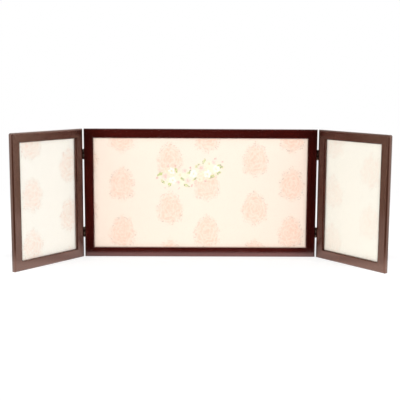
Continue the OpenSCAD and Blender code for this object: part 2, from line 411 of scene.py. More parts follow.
def make_lacquer_skin():
    """Ripple is slow noise plus a quarter of a quick one; haze is a slow cloud that makes
    the gloss softer in places."""
    tree, given = new_group("lacquer_skin", Vector=ORIGIN)
    place = given["Vector"]
    ripple = noise(place, SLOW_RIPPLE, 1, 0.4) + noise(place, QUICK_RIPPLE, 1, 0.4) * QUICK_SHARE
    return finish_group(tree, Ripple=ripple, Haze=noise(place, HAZE, 3, 0.6))


LACQUER_SKIN = make_lacquer_skin()

# %% [markdown]
# ## Edges of a panel
# Lacquer is thinnest on an edge and gets rubbed there first, and at each corner the two
# mitred members meet in a hairline. The panel's own place makes both easy to find: how far
# a point is in from the outer edge, and how far back from the front face.

# %% Panel edges group
# Radii to which sanding has rounded the outer edges and the sight edge
OUTER_SOFT, SIGHT_SOFT = 0.0028, 0.0018
# How far from an edge the wear reaches, before noise makes it ragged
WEAR_REACH = 0.0011
# Distances from the mitre at which its hairline starts and is full
HAIRLINE_OUT, HAIRLINE_IN = 0.00022, 0.00006
# How high up the foot is scuffed
FOOT_HEIGHT = 0.004


def rounding(from_edge, radius):
    """The drop of a quarter circle: radius times the root of (1 - q squared), less the
    radius, where q runs from 1 at the edge to 0 at one radius from it."""
    q = calc("SUBTRACT", 1.0, from_edge / radius, clamp=True)
    return (root(1.0 - q * q) - 1.0) * radius


def make_panel_edges():
    """Inside is the distance from the nearest outer edge, the smaller of half the width
    less |X| and of the height above the foot or below the top. Deep is the distance behind
    the front face. An edge is where two of these are small together: the outer edges in
    front and behind, and the sight edge, a member's width in. The mitre is where the two
    distances that inside is chosen from are equal; the larger of them is the distance
    along the member from its nearest corner. Soft is how far sanding has rounded the
    edges down, and in opening is how far a point lies beyond the sight edge."""
    tree, given = new_group(
        "panel_edges", Vector=ORIGIN, Width=0.459, Height=0.255, Thickness=0.009, Member_Width=0.018
    )
    x, y, z = split(given["Vector"])
    from_side = given["Width"] * 0.5 - abs(x)
    from_end = smaller(z, given["Height"] - z)
    inside = smaller(from_side, from_end)
    half = given["Thickness"] * 0.5
    deep = y + half
    reach = smooth(noise(given["Vector"], 170, 4, 0.65), 0.3, 0.75, 0.3, 1.6) * WEAR_REACH
    outer = larger(inside, 0.0) + smaller(deep, half - y)
    sight_edge = abs(given["Member Width"] - inside) + deep
    return finish_group(
        tree,
        Outer_Edge=smooth(outer / reach, 1.0, 0.3),
        Sight_Edge=smooth(sight_edge / reach, 1.0, 0.3),
        Mitre=smooth(abs(from_side - from_end), HAIRLINE_OUT, HAIRLINE_IN),
        Foot=smooth(z, FOOT_HEIGHT, 0.0),
        Along=larger(from_side, from_end),
        Soft=rounding(outer, OUTER_SOFT) + rounding(sight_edge, SIGHT_SOFT),
        In_Opening=inside - given["Member Width"],
    )


PANEL_EDGES = make_panel_edges()


def edges_of(panel, place):
    """The edges group, told the size of one panel."""
    width, thickness, height = (float(v) for v in PLACE[panel][2])
    return use(
        PANEL_EDGES, Vector=place, Width=width, Height=height,
        Thickness=thickness, Member_Width=MEMBER_W,
    )


# %% [markdown]
# ## Lacquered wood
# One finish, six materials: three panels, and in each the grain runs across in the rails
# and upright in the stiles. The colour is a very dark red-brown. What makes it look like
# lacquer is the clear even gloss over it, so roughness stays low and only drifts. Each
# panel's gloss has a tint of its own, a painted reflection of the part of the room that
# the panel mirrors.

# %% Lacquer colours
# Deep and warm are the two ends of the grain. Olive, thin and gap are laid over them.
LACQUER_DEEP = (0.022, 0.0021, 0.0015)
LACQUER_WARM = (0.056, 0.0050, 0.0035)
LACQUER_OLIVE = (0.057, 0.021, 0.012)
LACQUER_THIN = (0.110, 0.028, 0.018)
LACQUER_GAP = (0.006, 0.001, 0.001)
# Painted reflection: a gloss tint for each panel, for the part of the room it mirrors
PAINTED_GLOSS_TINT = {
    "centre": (0.84, 0.55, 0.51), "left_wing": (1.0, 0.65, 0.55), "right_wing": (0.77, 0.47, 0.38),
}
LACQUER_IOR = 1.95
# The direction of X in which a wing's free side lies
FREE_SIDE = {"left_wing": -1.0, "right_wing": 1.0}
# Added to the grain, so that the rails are a little warmer than the stiles
WARMTH = {"stile": 0.02, "rail": 0.14}
# How far from a corner the painted corner shade reaches
CORNER_SHADE_REACH = 0.055
RIPPLE = 0.00003
print("the ripple is about", RIPPLE * 1000, "mm high; the stain runs", CORNER_SHADE_REACH * 1000, "mm")

# %% [markdown]
# ## Laying the colours over one another
# Grain comes first, darker towards the corners as painted shade, then a wing's olive
# towards its free side, pores, rubbed edges and last the dark hairline of the mitre. This
# could be painted by hand on an image for each of the twelve members, but masks that know
# where a panel's edges are fit every member at once, and at any distance.

# %% Lacquer materials
def lacquer(panel, kind):
    """Lacquer for the rails or the stiles of a panel. The colour is painted darker towards
    the mitres, as painted shade at the corners, and a wing grows a little lighter and more
    olive towards its free side."""
    made, tree = new_material(f"lacquer_{panel}_{kind}")
    place = on_panel(tree, panel)
    x, y, z = split(place)
    grain = use(WOOD_GRAIN, Vector=join(z, y, x) if kind == "stile" else place)
    skin = use(LACQUER_SKIN, Vector=place)
    edges = edges_of(panel, place)

    warm = smooth(grain["Streaks"] * 0.6 + grain["Figure"] * 0.4 + WARMTH[kind], 0.36, 0.72)
    # Painted shade: the colour is darker towards the corners, by the distance along the member
    warm = warm * smooth(edges["Along"], 0.0, CORNER_SHADE_REACH, 0.2, 1.0)
    colour = mix(warm, LACQUER_DEEP, LACQUER_WARM)
    if panel in FREE_SIDE:
        half = float(PLACE[panel][2][0]) / 2
        # A wing turns a little lighter and more olive towards its free side
        toward_free = smooth(x * FREE_SIDE[panel], -half, half, 0.35, 1.0)
        colour = mix(toward_free, colour, LACQUER_OLIVE)
    colour = mix(grain["Pores"] * 0.5, colour, LACQUER_GAP)
    rubbed = edges["Outer Edge"] * 0.07
    colour = mix(rubbed, colour, LACQUER_THIN)
    colour = mix(edges["Sight Edge"] * 0.12, colour, LACQUER_THIN)
    colour = mix(edges["Mitre"] * 0.8, colour, LACQUER_GAP)

    rough = smooth(skin["Haze"], 0.3, 0.75, 0.15, 0.21) + rubbed * 1.2 + edges["Foot"] * 0.12
    height = skin["Ripple"] - grain["Pores"] * 0.35 - edges["Mitre"] * 1.2
    principled(
        tree, Base_Color=colour, Roughness=rough, IOR=LACQUER_IOR,
        Specular_Tint=PAINTED_GLOSS_TINT[panel], Normal=bumped(height * RIPPLE + edges["Soft"]),
    )
    return made


for panel in PANELS:
    finishes = {kind: lacquer(panel, kind) for kind in ("rail", "stile")}
    for member in MEMBERS:
        NODES[f"{panel}_{member}"].material_slots[0].material = finishes[member.split("_")[1]]
print("lacquered", len(PANELS) * len(MEMBERS), "members")

# %% [markdown]
# ## The pale blossoms of the ground
# The cards are a cream stock with large, very pale pink blossoms in a half-drop repeat:
# every second column is moved by half a step, as on wallpaper and kimono cloth. Shader
# arithmetic repeats one blossom over the whole card, at any size, with no image.

# %% Half-drop group
# Radius of each ring of petals' edges, as a share of the blossom's, and half its petals
PETAL_RINGS = ((0.32, 2.5), (0.56, 3.0), (0.80, 4.0))
WAVE_DEPTH = 0.13
# Sway is in metres, fray is a share of the blossom's radius
SWAY, FRAY = 0.012, 0.9


def make_half_drop():
    """Folds the card into equal cells, one blossom in each, twice over: the second set
    stands half a step higher. In a cell, u and v run from -1 to 1 over the blossom, and u
    is stretched by 1.04 plus a fifth of v, which makes the blossom an egg with its narrow
    end up. The rim is at a radius of about 1, with eight small waves round it, and three
    rings of petals inside it get paler edges. Slow noise sways the whole outline, and
    quick noise frays the rim. Dots are the peaks of a fine noise, kept only near the rim,
    like pollen."""
    tree, given = new_group(
        "half_drop_blossoms", Vector=ORIGIN, Start_X=0.0, Start_Z=0.0, Step_X=0.1685,
        Step_Z=0.097, Aside=0.0955, Half_Width=0.0245, Half_Height=0.031,
    )
    place = given["Vector"]
    x, _, z = split(place)
    sway = (noise(place, 60, 2) - 0.5) * SWAY
    fray = (noise(place, 260, 3, 0.7) - 0.5) * FRAY
    seeds = smooth(noise(place, 430, 1), 0.57, 0.65)
    sets = []
    for aside, raised in ((0.0, 0.0), (1.0, 0.5)):
        u = (x - given["Start X"] - given["Aside"] * aside) / given["Step X"] + 0.5
        v = (z - given["Start Z"]) / given["Step Z"] + (0.5 + raised)
        u = ((after_point(u) - 0.5) * given["Step X"] + sway) / given["Half Width"]
        v = ((after_point(v) - 0.5) * given["Step Z"] + sway) / given["Half Height"]
        u = u * (v * 0.2 + 1.04)
        radius, angle = root(u * u + v * v), calc("ARCTAN2", v, u)
        rim = abs(cosine(angle * 4.0)) * WAVE_DEPTH + 0.93
        mask = smooth(radius / rim + fray, 1.12, 0.72)
        for ring, petals in PETAL_RINGS:
            bend = abs(cosine(angle * petals + ring * 5))
            edge = bend * WAVE_DEPTH + (ring - 0.08)
            mask = mask * smooth(abs(radius - edge), 0.06, 0.01, 1.0, 0.40)
        near_rim = smooth(abs(radius / rim - 0.98), 0.20, 0.06)
        sets.append((mask, near_rim * seeds))
    (first, first_dots), (second, second_dots) = sets
    uneven = smooth(noise(place, 170, 3, 0.7), 0.35, 0.62, 0.42, 1.0)
    blossoms = larger(first, second) * uneven
    return finish_group(tree, Blossoms=blossoms, Dots=larger(first_dots, second_dots))


HALF_DROP = make_half_drop()

# %% [markdown]
# ## One blossom and one leaf
# A loose spray of small blossoms lies over the ground of the centre card. Every blossom is
# the same five-petalled form and every leaf the same pointed oval, placed many times with
# its own middle, size and turn, as a printer would use two small stamps.

# %% Blossom and leaf groups
STAMP = {"Vector": ORIGIN, "Middle": ORIGIN, "Turn": ORIGIN, "Size": 0.006}


def stamp_place(given):
    """The point's place from the middle of the stamp, turned by the stamp's own angle and
    counted in stamp sizes."""
    sockets = {"Vector": given["Vector"], "Location": given["Middle"], "Rotation": given["Turn"]}
    turned = put(given["Vector"].tree, "Mapping", sockets, vector_type="TEXTURE")[0]
    x, _, z = split(turned)
    return x / given["Size"], z / given["Size"]


def make_blossom():
    """The rim is at 0.5 plus 0.5 times the root of |cos(2.5 angle)|, which gives five
    round petals. Shade is strong in the middle and faint at the rim, the heart is a small
    disc, and the bloom is a soft round cloud that fades to nothing at a radius of 1."""
    tree, given = new_group("blossom", **STAMP)
    u, v = stamp_place(given)
    radius, angle = root(u * u + v * v), calc("ARCTAN2", v, u)
    rim = root(abs(cosine(angle * 2.5))) * 0.5 + 0.5
    near_rim = smooth(radius / rim, 0.55, 1.0)
    return finish_group(
        tree,
        Petals=smooth(rim - radius, 0.0, 0.06),
        Shade=larger(near_rim * 0.35, smooth(radius, 0.68, 0.22)),
        Heart=smooth(radius, 0.2, 0.14),
        Bloom=smooth(radius, 1.0, 0.2),
    )


def make_leaf():
    """A pointed oval: half its width is 0.42 times (1 - u squared), and a pale rib lies
    along its middle."""
    tree, given = new_group("leaf", **STAMP)
    u, v = stamp_place(given)
    width = (1.0 - u * u) * 0.42
    return finish_group(
        tree, Blade=smooth(width - abs(v), 0.0, 0.06), Rib=smooth(abs(v), 0.07, 0.02)
    )


BLOSSOM, LEAF = make_blossom(), make_leaf()

# %% [markdown]
# ## Fibres
# Paper, card and pressed board are all felted fibres. From close by they show short fine
# hairs in every direction and small soft clouds where the pulp is thicker. The card
# and the backing board share this effect, each with its own scale.

# %% Fibre group
HAIR_TURNS = (0.3, 1.4, 2.4)
HAIR_CELLS = (220, 2400, 2400)


def make_fibres():
    """Hairs are three sets of streaks, turned three ways about Y, of which the strongest
    wins; clouds are slow noise."""
    tree, given = new_group("fibres", Vector=ORIGIN, Scale=1.0)
    sockets = {0: given["Vector"], "Scale": given["Scale"]}
    sized = put(tree, "VectorMath", sockets, operation="SCALE")[0]
    hairs = None
    for turn in HAIR_TURNS:
        turned = put(tree, "Mapping", {"Vector": sized, "Rotation": (0, turn, 0)})[0]
        strand = streaks(turned, HAIR_CELLS)
        hairs = strand if hairs is None else larger(hairs, strand)
    return finish_group(tree, Hairs=hairs, Clouds=noise(sized, 70, 3, 0.6))


FIBRES = make_fibres()

# %% [markdown]
# ## The spray
# The print is built up as a printer would, one colour over another: soft green washes,
# leaves, petals with their shade and heart, and buds. Where each of them goes is a short
# list, because a loose spray looks right when it is placed one by one and not by a rule.

# %% Spray layout
WASH_GREEN = (0.880, 0.880, 0.640)
LEAF_GREEN = (0.540, 0.600, 0.210)
LEAF_DEEP = (0.330, 0.330, 0.180)
LEAF_PALE = (0.760, 0.800, 0.440)
BUD_ROSE = (0.720, 0.440, 0.400)
# Petal, its shade and its heart
PETALS = {
    "white": ((0.965, 0.945, 0.890), (0.950, 0.880, 0.780), (0.880, 0.700, 0.420)),
    "rose": ((0.940, 0.750, 0.660), (0.860, 0.560, 0.500), (0.720, 0.420, 0.380)),
    "peach": ((0.950, 0.850, 0.700), (0.930, 0.750, 0.560), (0.800, 0.600, 0.420)),
}
# Middle x and z in millimetres on the card, size in millimetres, turn in degrees and kind
BLOSSOMS = (
    (-70, 161, 8.5, 10, "rose"), (-57, 172, 7.0, 40, "white"), (-55, 153, 8.0, 75, "white"),
    (-41, 164, 8.0, 20, "peach"), (-25, 152, 7.0, 55, "rose"), (-14, 166, 8.5, 5, "white"),
    (1, 178, 7.5, 30, "rose"), (14, 166, 8.5, 60, "white"), (17, 186, 7.0, 15, "peach"),
    (31, 176, 7.5, 45, "white"), (-1, 155, 6.0, 25, "peach"), (-66, 150, 5.0, 30, "peach"),
    (-31, 172, 5.5, 0, "rose"), (26, 189, 5.0, 50, "rose"), (-44, 149, 5.0, 10, "rose"),
)
# Middle x and z, size and turn, here and in the next two
LEAVES = (
    (-80, 165, 7.5, 155), (-75, 151, 6.5, 225), (-61, 145, 6.5, 285), (-48, 173, 6.5, 70),
    (-36, 156, 6.0, 215), (-22, 170, 6.5, 130), (-28, 143, 7.5, 205), (-11, 156, 6.0, 320),
    (-7, 182, 6.5, 140), (7, 191, 6.5, 110), (22, 160, 7.5, 325), (40, 181, 7.5, 20),
    (36, 168, 6.0, 335),
)
BUDS = (
    (-86, 158, 2.2, 0), (-64, 181, 2.4, 0), (-50, 182, 1.8, 0), (-20, 178, 2.0, 0),
    (-17, 143, 2.4, 0), (-42, 137, 2.0, 0), (10, 152, 2.2, 0), (43, 190, 2.2, 0),
    (30, 197, 2.0, 0), (-70, 138, 1.8, 0),
)
WASHES = ((-62, 160, 24, 0), (-30, 158, 22, 0), (6, 172, 26, 0), (28, 176, 20, 0))
print("spray of", len(BLOSSOMS), "blossoms,", len(LEAVES), "leaves and", len(BUDS), "buds")

# %% [markdown]
# ## Printing it
# Each colour is blended over the one before, with a stamp as its mask. Clean edges would
# look cut out with scissors, so the stamps are looked up at a place that is first shaken a
# little, which makes every edge bleed.

# %% Print the spray
MM = 0.001
BLEED_CELLS, BLEED = 330, 0.0075


def stamped(stamp, place, spot):
    """Places a stamp of the spray at one spot of the card."""
    x, z, size, turn = spot
    return use(
        stamp, Vector=place, Middle=(x * MM, 0, z * MM), Turn=(0, math.radians(turn), 0),
        Size=size * MM,
    )


def wetted(place):
    """The place moved by (noise - 0.5) times the bleed, so that every edge that is printed
    there wanders like wet paint."""
    tree = place.tree
    shake = put(tree, "TexNoise", {"Vector": place, "Scale": BLEED_CELLS, "Detail": 2})["Color"]
    shake = put(tree, "VectorMath", {0: shake, 1: (0.5, 0.5, 0.5)}, operation="SUBTRACT")[0]
    shake = put(tree, "VectorMath", {0: shake, "Scale": BLEED}, operation="SCALE")[0]
    return put(tree, "VectorMath", {0: place, 1: shake}, operation="ADD")[0]


def print_spray(place, colour):
    """Prints the spray over a colour. One noise leaves the ink thin in spots, and another
    makes the leaves darker in spots."""
    wet = wetted(place)
    ink = smooth(noise(place, 420, 2, 0.6), 0.36, 0.58, 0.35, 1.0)
    deep = smooth(noise(place, 300, 2, 0.6), 0.48, 0.60)
    for spot in WASHES:
        colour = mix(stamped(BLOSSOM, wet, spot)["Bloom"] * 0.45, colour, WASH_GREEN)
    for spot in LEAVES:
        leaf = stamped(LEAF, wet, spot)
        green = mix(leaf["Rib"], mix(deep, LEAF_GREEN, LEAF_DEEP), LEAF_PALE)
        colour = mix(leaf["Blade"] * ink, colour, green)
    for *spot, kind in BLOSSOMS:
        flower = stamped(BLOSSOM, wet, spot)
        petal_colour, shade, heart = PETALS[kind]
        petal = mix(flower["Heart"], mix(flower["Shade"], petal_colour, shade), heart)
        colour = mix(flower["Petals"] * ink, colour, petal)
    for spot in BUDS:
        colour = mix(stamped(BLOSSOM, wet, spot)["Petals"] * ink, colour, BUD_ROSE)
    return colour


print("the spray is ready to print")

# %% [markdown]
# ## The printed cards
# All three cards carry the same blossoms on cream stock. Their creams differ as painted
# light: the wings' are paler and the centre's darker, to match how brightly each is lit.
# The wings' print is weaker, so each card gets its own cream, its own strength of print
# and its own start of the repeat. Only the centre card has the spray.

# %% Card materials
# Each card's cream, painted paler or darker to match how brightly it is lit
LIT_CREAM = {
    "centre": (0.940, 0.782, 0.672),
    "left_wing": (0.980, 0.940, 0.862),
    "right_wing": (0.970, 0.925, 0.825),
}
PALE_PINK = (0.910, 0.635, 0.505)
EDGE_SHADE = (0.420, 0.260, 0.210)
DOT_GREY = (0.640, 0.500, 0.420)
REPEAT_START = {
    "centre": (-0.1560, 0.049), "left_wing": (-0.039, 0.041), "right_wing": (-0.052, 0.040),
}
PRINT_STRENGTH = {"centre": 1.0, "left_wing": 0.5, "right_wing": 0.28}
DOT_STRENGTH = 0.75
# How strong the painted shade along the sight edge is on each card
LIP_SHADE_SHARE = {"centre": 0.8, "left_wing": 0.2, "right_wing": 0.2}
# The painted shade starts this far inside the sight edge and is full this far behind the lip
LIP_SHADE_IN, LIP_SHADE_OUT = 0.0024, -0.0004
# Painted reflection: the share of the card's colour that mirror rays see
PAINTED_REFLECTION_SHARE = 0.8
# How far the fibres stand up
CARD_TOOTH = 0.00004


def card(panel):
    """The printed card of a panel. A narrow warm painted shade runs along the sight edge:
    the shade under the lip, tinted by the warm light that the wood throws onto it, painted
    into the card's colour. Mirror rays see the card at four fifths of its strength, a
    painted reflection that makes the card look darker in the lacquer."""
    made, tree = new_material("card_" + panel)
    place = on_panel(tree, panel)
    start_x, start_z = REPEAT_START[panel]
    pale = use(HALF_DROP, Vector=place, Start_X=start_x, Start_Z=start_z)
    fibre = use(FIBRES, Vector=place, Scale=1.0)
    strength = PRINT_STRENGTH[panel]
    colour = mix(pale["Blossoms"] * strength, LIT_CREAM[panel], PALE_PINK)
    colour = mix(pale["Dots"] * (DOT_STRENGTH * strength), colour, DOT_GREY)
    if panel == "centre":
        colour = print_spray(place, colour)
    # Painted shade along the sight edge, warm from the lip
    in_opening = edges_of(panel, place)["In Opening"]
    colour = mix(smooth(in_opening, LIP_SHADE_IN, LIP_SHADE_OUT, 0.0, LIP_SHADE_SHARE[panel]), colour, EDGE_SHADE)

    tooth_and_reflection_dim = smooth(fibre["Hairs"], 0.45, 0.8, 1.0, 0.975)
    tooth_and_reflection_dim = tooth_and_reflection_dim * smooth(fibre["Clouds"], 0.3, 0.7, 0.985, 1.0)
    # Painted reflection: mirror rays see the card darker
    mirrored = put(tree, "LightPath")["Is Glossy Ray"]
    tooth_and_reflection_dim = tooth_and_reflection_dim * (1.0 - mirrored * (1.0 - PAINTED_REFLECTION_SHARE))
    grey = put(tree, "CombineColor", {0: tooth_and_reflection_dim, 1: tooth_and_reflection_dim, 2: tooth_and_reflection_dim})[0]
    principled(
        tree, Base_Color=mix(1.0, colour, grey, "MULTIPLY"),
        Roughness=smooth(fibre["Clouds"], 0.3, 0.7, 0.62, 0.78),
        Normal=bumped(fibre["Hairs"], CARD_TOOTH),
    )
    return made


PRINTED = {panel: card(panel) for panel in PANELS}
print("mixed the print of", len(PRINTED), "cards")

# %% [markdown]
# ## Surfaces over a grid
# The new pieces here, three sheets of card and the stage, are surfaces over a grid of
# points. Blender could add a grid by itself, but numpy works out all the points at once
# from a formula, and slices of their numbers give all the faces.

# %% Grids and pieces
def grid_faces(rows, columns):
    """Numbers the points of a grid and joins every four neighbours into a face."""
    index = np.arange(rows * columns).reshape(rows, columns)
    quads = np.stack([index[:-1, :-1], index[:-1, 1:], index[1:, 1:], index[1:, :-1]], -1)
    return index, quads.reshape(-1, 4)


def new_piece(name, co, faces):
    """A mesh object with arrays of points and faces."""
    mesh = bpy.data.meshes.new(name)
    mesh.from_pydata(co.tolist(), [], faces.tolist())
    made = bpy.data.objects.new(name, mesh)
    scene.collection.objects.link(made)
    print(name, len(mesh.polygons), "faces")
    return made


print("grid helpers ready")

# %% [markdown]
# ## The sheet of card itself
# The CAD model holds each card as a flat slab that touches the acrylic. Two faces in
# exactly one place confuse a renderer, and a real card isn't dead flat either: it has
# taken up damp unevenly and cockles a little inside its rebate. A sheet worked out
# on a grid shows that. It stays within the slab that it replaces, less a breath of air.

# %% Build the card sheets
# The breath of air, the height of the cockle, and how far apart the grid's points are
AIR = 0.00003
COCKLE = 0.00006
SHEET_STEP = 0.006


def make_sheet(panel):
    """The front surface is a function of u across and v up the card. It lies the air gap
    behind the slab's front, plus a cockle: the product of two slow sine waves that run
    slantwise, which fades to nothing at the edges. The back surface is the slab's back,
    brought forward by the air gap, and a strip of faces round the rim joins the two."""
    zero, turn, _ = PLACE[panel]
    turned = turn_about_z(turn)
    slab = (points(panel + "_picture") - zero) @ turned
    low, high = slab.min(0), slab.max(0)
    nu, nv = (int(round(v)) + 1 for v in (high - low)[[0, 2]] / SHEET_STEP)
    u, v = np.meshgrid(np.linspace(0, 1, nu), np.linspace(0, 1, nv))
    x, z = low[0] + u * (high - low)[0], low[2] + v * (high - low)[2]
    calm = np.sin(np.pi * u) * np.sin(np.pi * v)
    wave = np.sin(31 * x + 12 * z + 0.6) * np.sin(9 * x - 23 * z + 1.9)
    front = np.stack([x, low[1] + AIR + COCKLE * calm * (1 + wave) / 2, z], -1)
    back = np.stack([x, np.full_like(x, high[1] - AIR), z], -1)
    co = np.vstack([front.reshape(-1, 3), back.reshape(-1, 3)]) @ turned.T + zero
    index, quads = grid_faces(nv, nu)
    ring = np.concatenate([index[0, :-1], index[:-1, -1], index[-1, :0:-1], index[:0:-1, 0]])
    after = np.roll(ring, -1)
    rim = np.stack([ring, ring + nu * nv, after + nu * nv, after], -1)
    faces = np.vstack([quads, quads[:, ::-1] + nu * nv, rim])
    made = new_piece(panel + "_card", co, faces)
    made.data.polygons.foreach_set("use_smooth", np.arange(len(faces)) < len(quads))
    return made


BODY = {"centre": "centre_panel", "left_wing": "left_wing", "right_wing": "right_wing"}
for panel in PANELS:
    sheet = make_sheet(panel)
    sheet.data.materials.append(PRINTED[panel])
    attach(sheet, BODY[panel])
    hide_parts(panel + "_picture")

# %% [markdown]
# ## The clear sheets
# Acrylic lets nearly all light through and mirrors a little of what stands opposite it,
# more at a flat angle. The photograph shows no reflection on it at all, so it is the coated
# non-glare kind: its outer side is finely etched, which leaves only a soft bloom, and the
# coat mirrors less than bare acrylic does, so its IOR is 1.30 and not 1.49. Real glass
# shading would also bend light, which a flat sheet doesn't show and which keeps lamps from
# the card, so a plain see-through shader is mixed with a rough mirror by Fresnel. Only the
# outer side of the sheet mirrors; from inside, the same rule would make a full mirror.

# %% Clear sheet material
COATED_IOR = 1.30
CLEAR_TINT = (0.997, 0.999, 0.998)
WIPE_CELLS = (12, 12, 60)


def clear_sheet():
    """See-through where it is looked at squarely, a faint mirror at a flat angle."""
    made, tree = new_material("clear_sheet")
    wipes = streaks(row_place(tree), WIPE_CELLS, 4, 0.6)
    rough = smooth(wipes, 0.35, 0.70, 0.34, 0.42)
    mirror = put(tree, "BsdfGlossy", {"Color": (1, 1, 1), "Roughness": rough})[0]
    clear = put(tree, "BsdfTransparent", {"Color": CLEAR_TINT})[0]
    facing = put(tree, "Fresnel", {"IOR": COATED_IOR})[0]
    outer = 1.0 - put(tree, "NewGeometry")["Backfacing"]
    put(tree, "OutputMaterial", {0: shader_mix(facing * outer, clear, mirror)})
    return made


ACRYLIC = clear_sheet()
for panel in PANELS:
    NODES[panel + "_glazing"].material_slots[0].material = ACRYLIC
print("glazed", len(PANELS), "panels")

# %% [markdown]
# ## Backing boards
# The back is closed by hardboard: pressed brown wood fibre, smooth on the outside, with
# darker flecks and a slight sheen. It shares the card's fibres at a coarser scale.

# %% Backing board materials
BOARD_BROWN = (0.160, 0.080, 0.036)
BOARD_PALE = (0.250, 0.140, 0.070)
BOARD_DARK = (0.060, 0.028, 0.014)
BOARD_SCALE = 0.45
FLECK_CELLS = 900
BOARD_TOOTH = 0.00008


def board(panel):
    """Hardboard, with its fibres laid out on the panel."""
    made, tree = new_material("hardboard_" + panel)
    place = on_panel(tree, panel)
    fibre = use(FIBRES, Vector=place, Scale=BOARD_SCALE)
    colour = mix(smooth(fibre["Clouds"], 0.3, 0.7, 0.10, 0.45), BOARD_BROWN, BOARD_PALE)
    colour = mix(smooth(fibre["Hairs"], 0.62, 0.85, 0.0, 0.6), colour, BOARD_DARK)
    flecks = smooth(noise(place, FLECK_CELLS, 2, 0.6), 0.66, 0.74)
    principled(
        tree, Base_Color=mix(flecks * 0.5, colour, BOARD_PALE),
        Roughness=smooth(fibre["Clouds"], 0.3, 0.7, 0.48, 0.62),
        Normal=bumped(fibre["Hairs"], BOARD_TOOTH),
    )
    return made


for panel in PANELS:
    NODES[panel + "_backing_board"].material_slots[0].material = board(panel)
print("backed", len(PANELS), "panels")

# %% [markdown]
# ## Hinges, buttons, screws and nails
# The hinges are brass, darkened in a bath until they are nearly black, so only rubbed
# places show the metal. The centre panel's leaves get a brighter metal, showing through
# more, as painted glints on their knuckles. The corner nails are plain bright steel. All
# of them share one wear effect: a mottled patina, fine scratches and small pits.

# %% Metal wear group
MOTTLE_CELLS = (260, 1100)
SCRATCHES_UPRIGHT = (4000, 4000, 160)
SCRATCHES_ACROSS = (200, 3600, 3600)
PIT_CELLS = 2400
PIT_DEPTH = 0.00002


def make_metal_wear():
    """Patina is mottled noise at two scales multiplied together; scratches are noise drawn
    out very long in two directions, cut off so that only thin lines are left; pits are a
    very fine noise."""
    tree, given = new_group("metal_wear", Vector=ORIGIN)
    place = given["Vector"]
    slow, quick = MOTTLE_CELLS
    patina = noise(place, slow, 3, 0.6) * noise(place, quick, 2)
    lines = larger(streaks(place, SCRATCHES_UPRIGHT), streaks(place, SCRATCHES_ACROSS))
    return finish_group(
        tree,
        Patina=smooth(patina, 0.14, 0.38),
        Scratches=smooth(lines, 0.68, 0.78),
        Pits=noise(place, PIT_CELLS, 2),
    )


METAL_WEAR = make_metal_wear()

# %% [markdown]
# ## Three metals
# A metal finish is a dark colour, a bright one, and how much of the bright one the wear
# lets through. All of it is fully metallic: what looks black on old brass is a thin dark
# skin that still gleams. Where the patina is worn the metal is smoother too.

# %% Metal finishes
def old_metal(name, dark, bright, rough_low, rough_high, shown):
    """A metal finish between a dark and a bright colour. shown is how much of the bright
    metal the worn patina lets through; the scratches let through twice as much."""
    made, tree = new_material(name)
    wear = use(METAL_WEAR, Vector=row_place(tree))
    bare = larger(wear["Patina"] * shown, wear["Scratches"] * min(1.0, 2 * shown))
    principled(
        tree, Base_Color=mix(bare, dark, bright), Metallic=1.0,
        Roughness=smooth(wear["Patina"], 0.0, 1.0, rough_high, rough_low),
        Normal=bumped(wear["Pits"], PIT_DEPTH),
    )
    return made


DARK_BRASS = old_metal(
    "dark_brass", (0.030, 0.022, 0.017), (0.300, 0.190, 0.085), 0.30, 0.48, shown=0.22
)
STEEL = old_metal(
    "bright_steel", (0.240, 0.240, 0.235), (0.560, 0.560, 0.550), 0.25, 0.45, shown=0.80
)
GLINT_BRASS = old_metal(
    "glint_brass", (0.120, 0.092, 0.070), (0.620, 0.500, 0.360), 0.24, 0.38, shown=0.70
)
for name, node in NODES.items():
    # The centre panel's leaves: brighter metal for painted glints
    if "centre_leaf" in name:
        node.material_slots[0].material = GLINT_BRASS
    elif "hinge" in name or "button" in name:
        node.material_slots[0].material = DARK_BRASS
    elif "nails" in name:
        node.material_slots[0].material = STEEL
print("metal finishes set")

# %% [markdown]
# ## The floor
# A catalogue shot: white floor, white surroundings, a soft lamp in front and one at each
# side, and a dark room behind the camera. That dark room matters: a glossy dark frame shows
# what it mirrors. The centre panel faces the dark and stays deep red-brown, while the wings
# are turned towards the bright sides and look paler. The floor near the object is a real
# surface that takes its shadow. Further out it fades into the white of the world.

# %% Floor
FLOOR_HALF = 2.4
FLOOR_LINES = 9


def make_floor():
    """A square grid plane at Z = 0 under the whole scene."""
    side = np.linspace(-FLOOR_HALF, FLOOR_HALF, FLOOR_LINES)
    gx, gy = np.meshgrid(side, side)
    co = np.stack([gx.ravel(), gy.ravel(), np.zeros(gx.size)], 1)
    return new_piece("floor", co, grid_faces(FLOOR_LINES, FLOOR_LINES)[1])


floor = make_floor()
print("floor", 2 * FLOOR_HALF, "m square")

# %% [markdown]
# ## What the floor looks like, straight and in the gloss
# To the camera the floor is white, and near the feet it is partly real matt paint, so that
# the shadow shows. To a mirror-like surface it is a light of its own, and where it is
# bright or dim decides how each member of the frame shades from top to bottom.

# %% Floor finish
FLOOR_WHITE = (0.92, 0.92, 0.92)
FLOOR_BOUNCE = (0.80, 0.80, 0.80)
FADE_FROM, FADE_TO = 0.5, 1.1
# Share of pure white near the feet, and the distances from them over which it becomes all
OWN_WHITE = 0.68
WHITE_FROM, WHITE_TO = 0.08, 0.28
FEET_HALF = 0.25
WHITE_GLOW = 1.15
# The glow, and the limits and slant of the dark wedge in front
GLOW = 1.70
GLOW_FROM, GLOW_TO = -0.24, -0.10
GLOW_SPREAD = 0.35
# Its share at the left and at the right, and how far out each is reached
SIDE_GLOW = (0.92, 1.25)
SIDE_FROM, SIDE_TO = -0.5, 0.5
# The strip at the centre panel's foot and the bay before it, all as distances |x|
SHADED_GLOW = 0.70
STRIP_DIMS = (0.14, 0.27)
BAY_ENDS, BESIDE_GLOW = (0.23, 0.28), 1.1
OUTER_DIMS, OUTER_GLOW = (0.40, 0.48), 0.5
STRIP_FRONT = (-0.040, -0.050)


